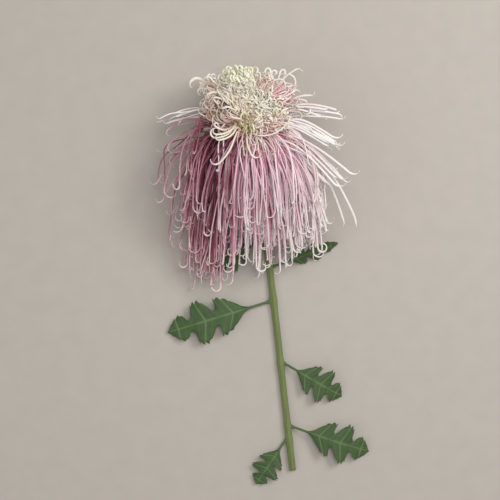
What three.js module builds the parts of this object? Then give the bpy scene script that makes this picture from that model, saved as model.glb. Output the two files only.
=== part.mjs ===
// Spider chrysanthemum: one cut bloom of long tubular florets, with its stem and leaves, lying on
// a flat surface.
//
// Millimetres, +Z up. The stem lies along the surface and points to -Y, and the head is at the +Y end,
// where it faces up and forwards. The florets are shaped as they hang while the stem stands (the head's
// centre at the origin, -Y down, +Z towards the front), and layDown() then settles that shape onto the
// surface. The origin is the bottom centre of the whole flower's box.
import * as THREE from "three";
import { ParametricGeometry } from "three/addons/geometries/ParametricGeometry.js";

const degree = Math.PI / 180;
const vector = (x, y, z) => new THREE.Vector3(x, y, z);
const mix = THREE.MathUtils.lerp;

// ---- Driving dimensions -------------------------------------------------------------------------
const domeRadius = 11.5; // the round receptacle that carries the florets
const headTilt = 48 * degree; // from straight up to the head's axis, towards +Y
const headHeight = 42; // centre of the receptacle above the surface
const floretRadius = 0.9; // a tubular floret is 1.8 across
const seatGap = 0.3; // between any two pieces that touch
const neckLength = 14; // from the receptacle's centre back to the top of the stem
const neckRadius = 3.2;
const stemRadius = 2.9;
const stemLength = 304; // along Y, from the head's centre to the cut end
const leafThickness = 1.6; // at the midrib

// ---- Materials ----------------------------------------------------------------------------------
const finish = (color, roughness) => new THREE.MeshStandardMaterial({ color, roughness, metalness: 0 });
const materials = {
  rose: finish(0xcf93ad, 0.55),
  blush: finish(0xeed3da, 0.55),
  cream: finish(0xe9e6bd, 0.6),
  leaf: finish(0x3f6136, 0.6),
  stem: finish(0x6d8448, 0.6),
  receptacle: finish(0xa9ad62, 0.7),
};

// ---- The head's frame ---------------------------------------------------------------------------
const headAxis = vector(0, Math.sin(headTilt), Math.cos(headTilt));
const headRight = vector(1, 0, 0);
const headBack = vector(0, Math.cos(headTilt), -Math.sin(headTilt)); // across the disc, away from the front

// The dome's outward normal: theta from the head's axis, and phi round it from the right, so that 90 is
// the back and 270 the front.
function domeNormal(theta, phi) {
  const outward = headRight
    .clone()
    .multiplyScalar(Math.cos(phi * degree))
    .addScaledVector(headBack, Math.sin(phi * degree));
  return headAxis
    .clone()
    .multiplyScalar(Math.cos(theta * degree))
    .addScaledVector(outward, Math.sin(theta * degree));
}

// ---- Lying down ---------------------------------------------------------------------------------
const hangStart = 12; // below this much drop the strands begin to sink onto the surface
const hangEnd = 145; // by this much drop they lie along it
const bedHeight = 8; // middle of the lying strands, there
const bedFlattening = 0.4; // how much of their depth they keep, there
const crownStart = 18; // strands that stand further forward than this are pressed in a little
const crownKeep = 0.72;
const crownBlend = 2;
const surfaceBlend = 5; // how gradually a strand meets the surface

// Rises smoothly from 0, and follows the value once that is well above 0.
const softAbove = (value, blend) => blend * Math.log1p(Math.exp(value / blend));

function layDown(point) {
  const along = THREE.MathUtils.clamp((-point.y - hangStart) / (hangEnd - hangStart), 0, 1);
  const sunk = THREE.MathUtils.smoothstep(along, 0, 1);
  const depth = point.z - (1 - crownKeep) * softAbove(point.z - crownStart, crownBlend);
  const height = mix(headHeight, bedHeight, sunk) + depth * mix(1, bedFlattening, sunk);
  return vector(point.x, point.y, floretRadius + softAbove(height - floretRadius, surfaceBlend));
}

// ---- Tubes along a line -------------------------------------------------------------------------
// A curve that keeps the spacing of its points, so that a tube has short steps only where it bends tightly.
class PointSpacedCurve extends THREE.CatmullRomCurve3 {
  getUtoTmapping(u) {
    return u;
  }
}

function roundSection(radius, sides) {
  const corners = Array.from({ length: sides }, (_, i) => {
    const angle = (i / sides) * 2 * Math.PI;
    return new THREE.Vector2(radius * Math.cos(angle), radius * Math.sin(angle));
  });
  return new THREE.Shape(corners);
}

function tubeAlong(points, radius, sides) {
  return new THREE.ExtrudeGeometry(roundSection(radius, sides), {
    steps: points.length - 1,
    extrudePath: new PointSpacedCurve(points),
    bevelEnabled: false,
  });
}

// ---- Florets ------------------------------------------------------------------------------------
const stalkSteps = 9;
const stepsPerTurn = 9;
const leastCurlSteps = 4;
const floretSides = 6;
const curlTightening = 0.45; // a curl's radius shrinks by this share to its tip
const curlRise = 2.4; // a full turn moves this far sideways, so that it clears itself
const usualReach = 24; // how far a strand keeps to the dome's normal as it leaves its seat
const usualFall = 40; // how far before its curl it already runs along its last heading

// The hanging centreline: a cubic from the seat on the dome to where the curl starts, then the spiral curl.
function floretLine({ theta, phi, start, heading, reach = usualReach, fall = usualFall, curl }) {
  const normal = domeNormal(theta, phi);
  const seat = normal.clone().multiplyScalar(domeRadius + seatGap);
  const bend = vector(...start);
  const forward = vector(...heading).normalize();
  const stalk = new THREE.CubicBezierCurve3(
    seat,
    seat.clone().addScaledVector(normal, reach),
    bend.clone().addScaledVector(forward, -fall),
    bend,
  );
  const points = stalk.getPoints(stalkSteps);
  const side = vector(...curl.toward);
  side.addScaledVector(forward, -side.dot(forward)).normalize();
  const lift = forward.clone().cross(side);
  const steps = Math.max(leastCurlSteps, Math.round(curl.turns * stepsPerTurn));
  const turn = (curl.turns * 2 * Math.PI) / steps;
  const here = bend.clone();
  for (let i = 0; i < steps; i++) {
    const angle = (i + 0.5) * turn;
    const radius = curl.radius * (1 - (curlTightening * (i + 0.5)) / steps);
    here.addScaledVector(forward, Math.cos(angle) * radius * turn);
    here.addScaledVector(side, Math.sin(angle) * radius * turn);
    here.addScaledVector(lift, (curlRise * turn) / (2 * Math.PI));
    points.push(here.clone());
  }
  return points;
}

function floret(name, material, shape) {
  const geometry = tubeAlong(floretLine(shape).map(layDown), floretRadius, floretSides);
  const mesh = new THREE.Mesh(geometry, material);
  mesh.name = name;
  return mesh;
}

// A value between -1 and 1 that changes unevenly from one floret to the next.
const uneven = (index, pace) => Math.sin(index * pace);

// Outer whorl: long strands from the rim of the dome, which hang down all round the stem.
const curtain = {
  count: 18,
  theta: 92,
  middle: 5, // the curtain hangs a little to the right of the head
  halfWidth: 64,
  halfDepth: 46,
  frontDrop: 116,
  backDrop: 62,
  leftDrop: 14, // longer at the left by this much, and shorter at the right
  dropSpread: 9,
  splay: 0.1, // sideways share of a strand's last heading
  reach: 34,
  fall: 52,
  curlRadius: 4.6,
  curlTurns: 0.6,
  turnsSpread: 0.2,
  curlStep: 137.5 * degree, // from one strand's curl to the next one's, so that they face all ways
  curlDepth: 0.6, // curls face sideways more than they face front or back
};

function curtainFloret(index) {
  const phi = (index + 0.5) * (360 / curtain.count);
  const sideways = Math.cos(phi * degree);
  const backwards = Math.sin(phi * degree);
  const drop = mix(curtain.frontDrop, curtain.backDrop, (1 + backwards) / 2) - curtain.leftDrop * sideways;
  const curlAngle = index * curtain.curlStep;
  return {
    theta: curtain.theta,
    phi,
    start: [
      curtain.middle + curtain.halfWidth * sideways,
      -drop - curtain.dropSpread * uneven(index, 2.4),
      -curtain.halfDepth * backwards,
    ],
    heading: [curtain.splay * sideways, -1, 0],
    reach: curtain.reach,
    fall: curtain.fall,
    curl: {
      radius: curtain.curlRadius + uneven(index, 1.7),
      turns: curtain.curlTurns + curtain.turnsSpread * uneven(index, 2.1),
      toward: [Math.cos(curlAngle), 0, curtain.curlDepth * Math.sin(curlAngle)],
    },
  };
}

// Middle whorl, placed one by one: stiff strands that stand out to the right, loops over the top,
// wisps to the left, and the long cream ones that hook forwards out of the eye of the flower.
const middleWhorl = {
  right_1: {
    theta: 66, phi: 42, start: [54, 40, 4], heading: [1, -0.02, 0], fall: 24,
    curl: { radius: 2.6, turns: 0.35, toward: [0, 1, 0.3] },
  },
  right_2: {
    theta: 70, phi: 22, start: [77, 23, 6], heading: [1, -0.2, 0], fall: 46,
    curl: { radius: 6, turns: 0.28, toward: [0, -1, 0] },
  },
  right_3: {
    theta: 66, phi: 2, start: [75, -5, 18], heading: [0.85, -0.53, 0], fall: 50,
    curl: { radius: 7, turns: 0.28, toward: [0.3, 1, 0] },
  },
  right_4: {
    theta: 66, phi: 342, start: [87, -30, 24], heading: [0.77, -0.63, 0], fall: 62,
    curl: { radius: 7, turns: 0.32, toward: [0.3, 1, 0] },
  },
  right_5: {
    theta: 66, phi: 324, start: [73, -40, 34], heading: [0.66, -0.75, 0], fall: 60,
    curl: { radius: 8, turns: 0.32, toward: [0.4, 1, 0] },
  },
  right_6: {
    theta: 74, phi: 8, start: [84, -73, 8], heading: [0.3, -0.95, 0], fall: 64,
    curl: { radius: 5, turns: 0.22, toward: [-1, 0, 0] },
  },
  right_7: {
    theta: 78, phi: 352, start: [93, -68, 14], heading: [0.42, -0.9, 0], fall: 70,
    curl: { radius: 22, turns: 0.12, toward: [-1, -0.4, 0] },
  },
  top_1: {
    theta: 58, phi: 62, start: [40, 65, -14], heading: [0.85, 0.5, 0], fall: 22,
    curl: { radius: 6, turns: 0.32, toward: [0.2, -1, 0] },
  },
  top_2: {
    theta: 52, phi: 34, start: [39, 48, 12], heading: [0.3, 0.95, 0], fall: 20,
    curl: { radius: 8, turns: 0.45, toward: [-1, 0.4, 0] },
  },
  top_3: {
    theta: 50, phi: 96, start: [-10, 56, 0], heading: [-0.2, 1, 0.1], fall: 22,
    curl: { radius: 5.5, turns: 0.6, toward: [1, 0, 0.3] },
  },
  left_1: {
    theta: 62, phi: 128, start: [-47, 56, -10], heading: [-0.9, 0.35, 0], fall: 22,
    curl: { radius: 6.5, turns: 0.48, toward: [0, -1, 0] },
  },
  left_2: {
    theta: 72, phi: 156, start: [-76, 16, -6], heading: [-0.9, -0.3, 0],
    curl: { radius: 3, turns: 0.35, toward: [0, 1, 0.5] },
  },
  left_3: {
    theta: 64, phi: 172, start: [-72, -4, 12], heading: [-0.75, -0.65, 0],
    curl: { radius: 6, turns: 0.4, toward: [1, -0.6, 0] },
  },
  left_4: {
    theta: 74, phi: 190, start: [-78, -44, 8], heading: [-0.2, -1, 0], fall: 50,
    curl: { radius: 7, turns: 0.5, toward: [1, 0, 0] },
  },
  left_5: {
    theta: 80, phi: 176, start: [-84, -36, -8], heading: [-0.45, -0.9, 0], fall: 46,
    curl: { radius: 6, turns: 0.36, toward: [-1, 0.5, 0] },
  },
  front_1: {
    theta: 34, phi: 222, start: [-27, -23, 44], heading: [-0.75, -0.65, 0.1], reach: 30, fall: 24,
    curl: { radius: 6, turns: 0.4, toward: [-0.7, 0.7, 0] },
  },
  front_2: {
    theta: 34, phi: 196, start: [-30, -1, 40], heading: [-1, -0.1, 0.1], reach: 26, fall: 20,
    curl: { radius: 5, turns: 0.62, toward: [0, 1, 0.2] },
  },
  front_3: {
    theta: 46, phi: 264, start: [0, -16, 48], heading: [0.4, -0.9, 0.1], reach: 28, fall: 18,
    curl: { radius: 5.4, turns: 0.48, toward: [1, 0.3, 0] },
  },
  front_4: {
    theta: 36, phi: 350, start: [32, 12, 46], heading: [-0.6, -0.8, 0], reach: 26, fall: 14,
    curl: { radius: 32, turns: 0.22, toward: [-1, 0.75, 0] },
  },
};

// Eye of the flower: short cream florets in two rings, which curl in over the centre.
const eye = {
  count: 7,
  firstPhi: 20,
  rings: [20, 36], // theta of the inner and the outer ring
  height: 23,
  lean: 0.9, // how far they lean in as they rise
  reach: 9,
  fall: 9,
  curlRadius: 4,
  curlTurns: 0.55,
};

function eyeFloret(index) {
  const phi = eye.firstPhi + index * (360 / eye.count);
  const theta = eye.rings[index % 2];
  const outward = domeNormal(theta, phi);
  const start = outward.clone().multiplyScalar(domeRadius + eye.height);
  const inwards = headAxis.clone().multiplyScalar(start.dot(headAxis)).sub(start).normalize();
  return {
    theta,
    phi,
    start: start.toArray(),
    heading: outward.addScaledVector(inwards, eye.lean).toArray(),
    reach: eye.reach,
    fall: eye.fall,
    curl: {
      radius: eye.curlRadius,
      turns: eye.curlTurns,
      toward: inwards.sub(headAxis).toArray(),
    },
  };
}

// ---- Receptacle and bracts ----------------------------------------------------------------------
const domeEnd = 112; // the dome's round part ends at this many degrees from its axis
const domeSteps = 10;
const receptacleSides = 24;
const collarHeight = 2.5; // a short flare at the neck, before the cone
const collarFlare = 0.6;

const domePoint = (angle) => new THREE.Vector2(domeRadius * Math.sin(angle), domeRadius * Math.cos(angle));
const coneStart = new THREE.Vector2(neckRadius + collarFlare, collarHeight - neckLength);
const coneEnd = domePoint(domeEnd * degree);

// Turns a solid of revolution about +Y to the head's axis, and lifts it to the head's centre.
function placeInHead(mesh) {
  mesh.quaternion.setFromUnitVectors(vector(0, 1, 0), headAxis);
  mesh.position.set(0, 0, headHeight);
  return mesh;
}

function receptacle() {
  const profile = [
    new THREE.Vector2(0, -neckLength),
    new THREE.Vector2(neckRadius, -neckLength),
    coneStart,
  ];
  for (let i = 0; i < domeSteps; i++) profile.push(domePoint(domeEnd * (1 - i / domeSteps) * degree));
  profile.push(new THREE.Vector2(0, domeRadius));
  const mesh = new THREE.Mesh(new THREE.LatheGeometry(profile, receptacleSides), materials.receptacle);
  mesh.name = "receptacle";
  return placeInHead(mesh);
}

// A thin closed pad runs out over its top from one edge and back underneath: u says how far round it is.
const acrossPad = (u) => (u < 0.5 ? 1 - 4 * u : 4 * u - 3); // 1 and -1 are the edges
const padSide = (u) => (u < 0.5 ? 0.5 : -0.5); // above or below the middle, as a share of the thickness

// A bract is a thin pointed scale that lies on the receptacle's cone, and its free tip flares out past
// the rim.
const bract = {
  count: 8,
  thickness: 0.7,
  halfAngle: 17 * degree,
  clearance: 0.65, // from the cone to the middle of the scale's underside
  coneShare: 0.8, // of its length lies on the cone
  flareStart: 0.75,
  flareOut: 3.1,
  flareUp: 0.9,
  bluntness: 0.6, // low values give a broad scale with a blunt tip
};

function bractSurface(u, v, target) {
  const along = coneEnd.clone().sub(coneStart);
  const outwards = new THREE.Vector2(along.y, -along.x).normalize();
  const width = v > 0 && v < 1 ? Math.sin(Math.PI * v) ** bract.bluntness : 0;
  const across = acrossPad(u);
  const thickness = bract.thickness * (1 - across * across) * width;
  const flare = Math.max(0, (v - bract.flareStart) / (1 - bract.flareStart));
  const profile = coneStart
    .clone()
    .addScaledVector(along, Math.min(v / bract.coneShare, 1))
    .addScaledVector(outwards, bract.clearance + (0.5 + padSide(u)) * thickness)
    .add(new THREE.Vector2(bract.flareOut * flare, bract.flareUp * flare));
  const angle = -across * bract.halfAngle * width;
  target.set(profile.x * Math.sin(angle), profile.y, profile.x * Math.cos(angle));
}

function bractMesh(index) {
  const geometry = new ParametricGeometry(bractSurface, 8, 8);
  geometry.rotateY((index / bract.count) * 2 * Math.PI);
  const mesh = new THREE.Mesh(geometry, materials.leaf);
  mesh.name = `bract_${index + 1}`;
  return placeInHead(mesh);
}

// ---- Stem ---------------------------------------------------------------------------------------
// The stem leaves the head along its axis, comes down to the surface and lies along it.
const straightNeck = 9; // this far it runs straight back from the receptacle
const stemSteps = 30;
const stemSides = 10;
const stemTop = headAxis.clone().multiplyScalar(-(neckLength + seatGap)).add(vector(0, 0, headHeight));
const stemRoute = new THREE.CatmullRomCurve3([
  stemTop,
  stemTop.clone().addScaledVector(headAxis, -straightNeck),
  vector(3, -36, 15),
  vector(8, -62, 6.4),
  vector(15, -99, 3.4),
  vector(23, -162, stemRadius),
  vector(31, -234, stemRadius),
  vector(39, -stemLength, stemRadius),
]);

function stem() {
  const geometry = tubeAlong(stemRoute.getSpacedPoints(stemSteps), stemRadius, stemSides);
  const mesh = new THREE.Mesh(geometry, materials.stem);
  mesh.name = "stem";
  return mesh;
}

// The stem's centre where it passes a given Y.
function stemPointAt(y) {
  const nearer = (best, point) => (Math.abs(point.y - y) < Math.abs(best.y - y) ? point : best);
  return stemRoute.getSpacedPoints(400).reduce(nearer);
}

// ---- Leaves -------------------------------------------------------------------------------------
const petioleShare = 0.2; // of a leaf's length
const petioleRadius = 1.1;
const lobesPerSide = 3;
const lobeDepth = 0.32;
const lobePhase = 0.42; // of a lobe, where the blade starts
const lobeSlant = 0.55; // lobes point forwards by this share of their reach
const leafLift = 4; // a leaf reaches its own height over the first quarter of its length
const leafClearance = 0.1; // above the surface
const leafBlend = 0.6; // how gradually it meets the surface

// Half the leaf's width along its length: a narrow petiole, then a blade with rounded lobes and a
// pointed tip.
function leafHalfWidth(v, halfWidth) {
  if (v <= 0 || v >= 1) return 0;
  if (v <= petioleShare) return petioleRadius;
  const blade = (v - petioleShare) / (1 - petioleShare);
  const outline = Math.sin(Math.PI * blade ** 0.8) ** 0.7;
  const lobes = 1 - lobeDepth + lobeDepth * Math.cos(2 * Math.PI * (lobesPerSide * blade + lobePhase));
  return Math.max(petioleRadius, halfWidth * outline * lobes);
}

// A leaf grows from the stem at a given Y, heads out at an angle to +X, arches up and comes down to
// its tip. The stem runs close to -Y there, so its sides face +X and -X.
function leafGeometry({ stemY, angle, length, halfWidth, roll = 0, arch, height }) {
  const heading = vector(Math.cos(angle * degree), Math.sin(angle * degree), 0);
  const sideways = vector(-heading.y, heading.x, 0).multiplyScalar(Math.cos(roll * degree));
  sideways.z = Math.sin(roll * degree);
  const upwards = heading.clone().cross(sideways);
  const offStem = vector(Math.sign(heading.x), 0, 0);
  const base = stemPointAt(stemY).addScaledVector(offStem, stemRadius + seatGap + leafClearance);

  const surface = (u, v, target) => {
    const across = acrossPad(u);
    const halfWide = leafHalfWidth(v, halfWidth);
    const slant = v > petioleShare ? lobeSlant * Math.abs(across) * halfWide * (1 - v) : 0;
    const thickness = v > 0 && v < 1 ? leafThickness * (1 - across * across) : 0;
    target
      .copy(base)
      .addScaledVector(heading, length * v + slant)
      .addScaledVector(sideways, across * halfWide)
      .addScaledVector(upwards, padSide(u) * thickness);
    target.z += arch * Math.sin(Math.PI * v) + (height - base.z) * Math.min(1, v * leafLift);
    target.z = leafClearance + softAbove(target.z - leafClearance, leafBlend);
  };
  return new ParametricGeometry(surface, 8, 26);
}

const leaves = {
  leaf_1: { stemY: -88, angle: 212, length: 52, halfWidth: 15, arch: 1, height: 3 },
  leaf_2: { stemY: -114, angle: 20, length: 64, halfWidth: 13, roll: 46, arch: 2, height: 8 },
  leaf_3: { stemY: -146, angle: 197, length: 100, halfWidth: 22, arch: 7, height: 3 },
  leaf_4: { stemY: -205, angle: 330, length: 62, halfWidth: 18, arch: 6, height: 3 },
  leaf_5: { stemY: -262, angle: 342, length: 76, halfWidth: 20, arch: 7, height: 3 },
  leaf_6: { stemY: -276, angle: 236, length: 50, halfWidth: 15, arch: 4, height: 3 },
};

function leafMesh(name) {
  const mesh = new THREE.Mesh(leafGeometry(leaves[name]), materials.leaf);
  mesh.name = name;
  return mesh;
}

// ---- Assembly -----------------------------------------------------------------------------------
const flower = new THREE.Group();
flower.add(receptacle(), stem());
for (let i = 0; i < bract.count; i++) flower.add(bractMesh(i));
for (const name of Object.keys(leaves)) flower.add(leafMesh(name));
for (let i = 0; i < curtain.count; i++) {
  flower.add(floret(`outer_floret_${i + 1}`, materials.rose, curtainFloret(i)));
}
for (const [place, shape] of Object.entries(middleWhorl)) {
  flower.add(floret(`middle_floret_${place}`, materials.blush, shape));
}
for (let i = 0; i < eye.count; i++) {
  flower.add(floret(`eye_floret_${i + 1}`, materials.cream, eyeFloret(i)));
}

// Put the origin at the bottom centre of the flower's box.
const box = new THREE.Box3().setFromObject(flower, true);
const centre = box.getCenter(vector(0, 0, 0));
flower.position.set(-centre.x, -centre.y, -box.min.z);

export default flower;
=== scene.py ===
"""Looks of a cut spider chrysanthemum that lies on a pale table, with the camera straight above it.

The flower's lengths are millimetres here, and to_frame() turns them into the frame's metres, which the floor,
the lights and the materials use as well. As in the CAD part, the florets are shaped as they hang while the
stem stands (the head's centre at the origin, -Y down, +Z towards the front), and lay_down() settles that
shape onto the table.
"""

import math

import bpy
import numpy as np
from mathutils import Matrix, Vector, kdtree, noise


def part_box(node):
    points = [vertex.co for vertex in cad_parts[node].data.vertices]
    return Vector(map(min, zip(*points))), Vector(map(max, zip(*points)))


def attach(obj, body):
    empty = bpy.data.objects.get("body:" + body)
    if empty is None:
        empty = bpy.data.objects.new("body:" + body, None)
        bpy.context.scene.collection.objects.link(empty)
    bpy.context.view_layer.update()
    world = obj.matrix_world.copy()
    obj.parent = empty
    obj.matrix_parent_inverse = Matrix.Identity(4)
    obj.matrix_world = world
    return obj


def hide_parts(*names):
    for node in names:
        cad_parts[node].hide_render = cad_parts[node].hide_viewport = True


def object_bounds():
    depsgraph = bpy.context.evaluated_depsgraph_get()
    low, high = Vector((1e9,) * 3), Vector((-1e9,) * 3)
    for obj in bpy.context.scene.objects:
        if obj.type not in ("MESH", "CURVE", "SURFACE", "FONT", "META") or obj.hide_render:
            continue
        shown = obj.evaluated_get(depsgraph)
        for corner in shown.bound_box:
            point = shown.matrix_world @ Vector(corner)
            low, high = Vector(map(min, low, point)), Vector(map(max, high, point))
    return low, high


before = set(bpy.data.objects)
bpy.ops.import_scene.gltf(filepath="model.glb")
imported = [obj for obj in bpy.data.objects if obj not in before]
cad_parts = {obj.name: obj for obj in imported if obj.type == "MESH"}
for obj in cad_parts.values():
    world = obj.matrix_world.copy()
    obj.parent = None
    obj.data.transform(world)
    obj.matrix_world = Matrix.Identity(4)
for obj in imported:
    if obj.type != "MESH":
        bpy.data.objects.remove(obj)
cad_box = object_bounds()

BODY = "root"
METRES = 0.001
rng = np.random.default_rng(46)

# ---- The head's own shape, as in the CAD part ----
DOME_RADIUS = 11.5
HEAD_TILT = math.radians(48)
HEAD_HEIGHT = 42
NECK_LENGTH = 14
NECK_RADIUS = 3.2
FLORET_RADIUS = 0.9
AXIS = np.array([0, math.sin(HEAD_TILT), math.cos(HEAD_TILT)])
RIGHT = np.array([1.0, 0, 0])
BACK = np.array([0, math.cos(HEAD_TILT), -math.sin(HEAD_TILT)])

lowest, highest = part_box("receptacle")
HEAD = np.array(
    [
        (lowest.x + highest.x) / 2 / METRES,
        highest.y / METRES - DOME_RADIUS,
        highest.z / METRES - DOME_RADIUS - HEAD_HEIGHT,
    ]
)


def to_frame(points):
    """Points in millimetres about the head become points of the frame."""
    return (np.asarray(points, float) + HEAD) * METRES


def unit(vector):
    vector = np.asarray(vector, float)
    return vector / np.linalg.norm(vector)


def dome_normal(theta, phi):
    """Out of the dome, theta degrees from the head's axis and phi round it: 90 is the back, 270 the front."""
    theta, phi = math.radians(theta), math.radians(phi)
    outward = math.cos(phi) * RIGHT + math.sin(phi) * BACK
    return math.cos(theta) * AXIS + math.sin(theta) * outward


# ---- Lying down ----
HANG_START = 12
HANG_END = 145
BED_HEIGHT = 8
BED_FLATTENING = 0.4
CROWN_START = 18
CROWN_KEEP = 0.72
CROWN_BLEND = 2
SURFACE_BLEND = 5
CEILING = cad_box[1][2] / METRES + 1.2  # nothing rises much above the top of the CAD part
CEILING_BLEND = 1.5


def soft_above(value, blend):
    return blend * np.log1p(np.exp(value / blend))


def smooth(value, low=0.0, high=1.0):
    t = np.clip((value - low) / (high - low), 0, 1)
    return t * t * (3 - 2 * t)


def bell(value, width):
    """A bump that is 1 where the value is 0, and runs out on both sides."""
    return np.exp(-((value / width) ** 2))


def lay_down(points):
    x, y, depth = points.T
    sunk = smooth((-y - HANG_START) / (HANG_END - HANG_START))
    depth = depth - (1 - CROWN_KEEP) * soft_above(depth - CROWN_START, CROWN_BLEND)
    height = HEAD_HEIGHT + (BED_HEIGHT - HEAD_HEIGHT) * sunk + depth * (1 + (BED_FLATTENING - 1) * sunk)
    height = FLORET_RADIUS + soft_above(height - FLORET_RADIUS, SURFACE_BLEND)
    top = CEILING - HEAD[2] - FLORET_RADIUS
    return np.column_stack((x, y, top - soft_above(top - height, CEILING_BLEND)))


# ---- Centrelines of florets ----
SEAT_DEPTH = 0.3  # a floret starts this far inside the dome
STALK_STEPS = 78
STEPS_PER_TURN = 20
LEAST_CURL_STEPS = 8
CURL_TIGHTENING = 0.45
CURL_RISE = 2.4
USUAL_REACH = 24
USUAL_FALL = 40
WOBBLE_WAVES = (1, 2, 3.3)  # along a whole floret
WOBBLE_GROWS = (0.02, 0.5)  # from nothing to its full size between these shares of the floret


def floret_line(theta, phi, start, heading, curl, reach=USUAL_REACH, fall=USUAL_FALL):
    """A cubic from the seat on the dome to where the curl starts, then the spiral curl."""
    normal = dome_normal(theta, phi)
    seat = normal * (DOME_RADIUS - SEAT_DEPTH)
    bend = np.asarray(start, float)
    forward = unit(heading)
    t = np.linspace(0, 1, STALK_STEPS + 1)[:, None]
    stalk = (
        (1 - t) ** 3 * seat
        + 3 * (1 - t) ** 2 * t * (seat + normal * reach)
        + 3 * (1 - t) * t**2 * (bend - forward * fall)
        + t**3 * bend
    )
    side = np.asarray(curl["toward"], float)
    side = unit(side - forward * side.dot(forward))
    lift = np.cross(forward, side)
    steps = max(LEAST_CURL_STEPS, round(curl["turns"] * STEPS_PER_TURN))
    turn = curl["turns"] * math.tau / steps
    middle = np.arange(steps)[:, None] + 0.5
    radius = curl["radius"] * (1 - CURL_TIGHTENING * middle / steps)
    moves = (forward * np.cos(middle * turn) + side * np.sin(middle * turn)) * radius * turn
    moves = moves + lift * CURL_RISE * turn / math.tau
    return np.vstack((stalk, bend + np.cumsum(moves, axis=0)))


def wobbled(line, amount):
    """The line with slow uneven bends, which grow from nothing at the seat."""
    share = np.linspace(0, 1, len(line))[:, None]
    bends = sum(
        rng.normal(0, 1 / waves, 3) * np.sin(math.tau * (waves * share + rng.random(3)))
        for waves in WOBBLE_WAVES
    )
    return line + amount * bends * smooth(share, *WOBBLE_GROWS)


CLUMP_GRAIN = np.array((1 / 11, 1 / 24, 1 / 16))  # clumps a millimetre along X, Y and depth
CLUMP_CONTRAST = 2.0
TONE_SCATTER = 0.36
ANY_TONE = (0, 1)  # 0 is the deepest of a palette and 1 the palest


def clumped_tone(low, high, place):
    """A tone between low and high that near neighbours share, so that florets are deep or pale in clumps."""
    clump = 0.5 + CLUMP_CONTRAST * noise.noise(place * CLUMP_GRAIN) + rng.normal(0, TONE_SCATTER)
    return low + (high - low) * min(max(clump, 0), 1)


class Strand:
    """One floret: its centreline as it lies, its radius, its tone and how readily it gives way."""

    def __init__(self, shape, radius, tones, wobble, give=1.0):
        self.line = lay_down(wobbled(floret_line(**shape), wobble))
        self.radius = radius
        self.tone = clumped_tone(*tones, self.line[STALK_STEPS])
        self.give = give


# ---- Florets placed one by one, as in the CAD part ----
GOLDEN_ANGLE = 137.5
CURTAIN = dict(  # each step is what a sine goes on by from floret to floret, to make them uneven
    count=18, radius=0.8, theta=92, middle=5, half_width=64, half_depth=46, front_drop=116, back_drop=62,
    left_drop=14, drop_spread=9, drop_step=2.4, splay=0.1, reach=34, fall=52, curl_radius=4.6,
    radius_step=1.7, curl_turns=0.6, turns_spread=0.2, turns_step=2.1, curl_depth=0.6,
)


def curl(radius, turns, *toward):
    return dict(radius=radius, turns=turns, toward=toward)


def floret(theta, phi, start, heading, curl, **lengths):
    """Where on the dome a floret sits, where its curl starts, how it heads there, and the curl. Lengths are
    the reach and the fall of floret_line()."""
    return dict(theta=theta, phi=phi, start=start, heading=heading, curl=curl, **lengths)


def curtain_drop(sideways, backwards):
    """How far the curtain hangs, longest at the front and at the left."""
    c = CURTAIN
    drop = c["front_drop"] + (c["back_drop"] - c["front_drop"]) * (1 + backwards) / 2
    return drop - c["left_drop"] * sideways


def curtain_floret(index):
    c = CURTAIN
    phi = (index + 0.5) * 360 / c["count"]
    sideways, backwards = math.cos(math.radians(phi)), math.sin(math.radians(phi))
    drop = curtain_drop(sideways, backwards)
    drop += c["drop_spread"] * math.sin(index * c["drop_step"])
    curl_angle = math.radians(index * GOLDEN_ANGLE)
    curl_facts = curl(
        c["curl_radius"] + math.sin(index * c["radius_step"]),
        c["curl_turns"] + c["turns_spread"] * math.sin(index * c["turns_step"]),
        math.cos(curl_angle), 0, c["curl_depth"] * math.sin(curl_angle),
    )
    start = (c["middle"] + c["half_width"] * sideways, -drop, -c["half_depth"] * backwards)
    heading = (c["splay"] * sideways, -1, 0)
    return floret(c["theta"], phi, start, heading, curl_facts, reach=c["reach"], fall=c["fall"])


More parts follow.
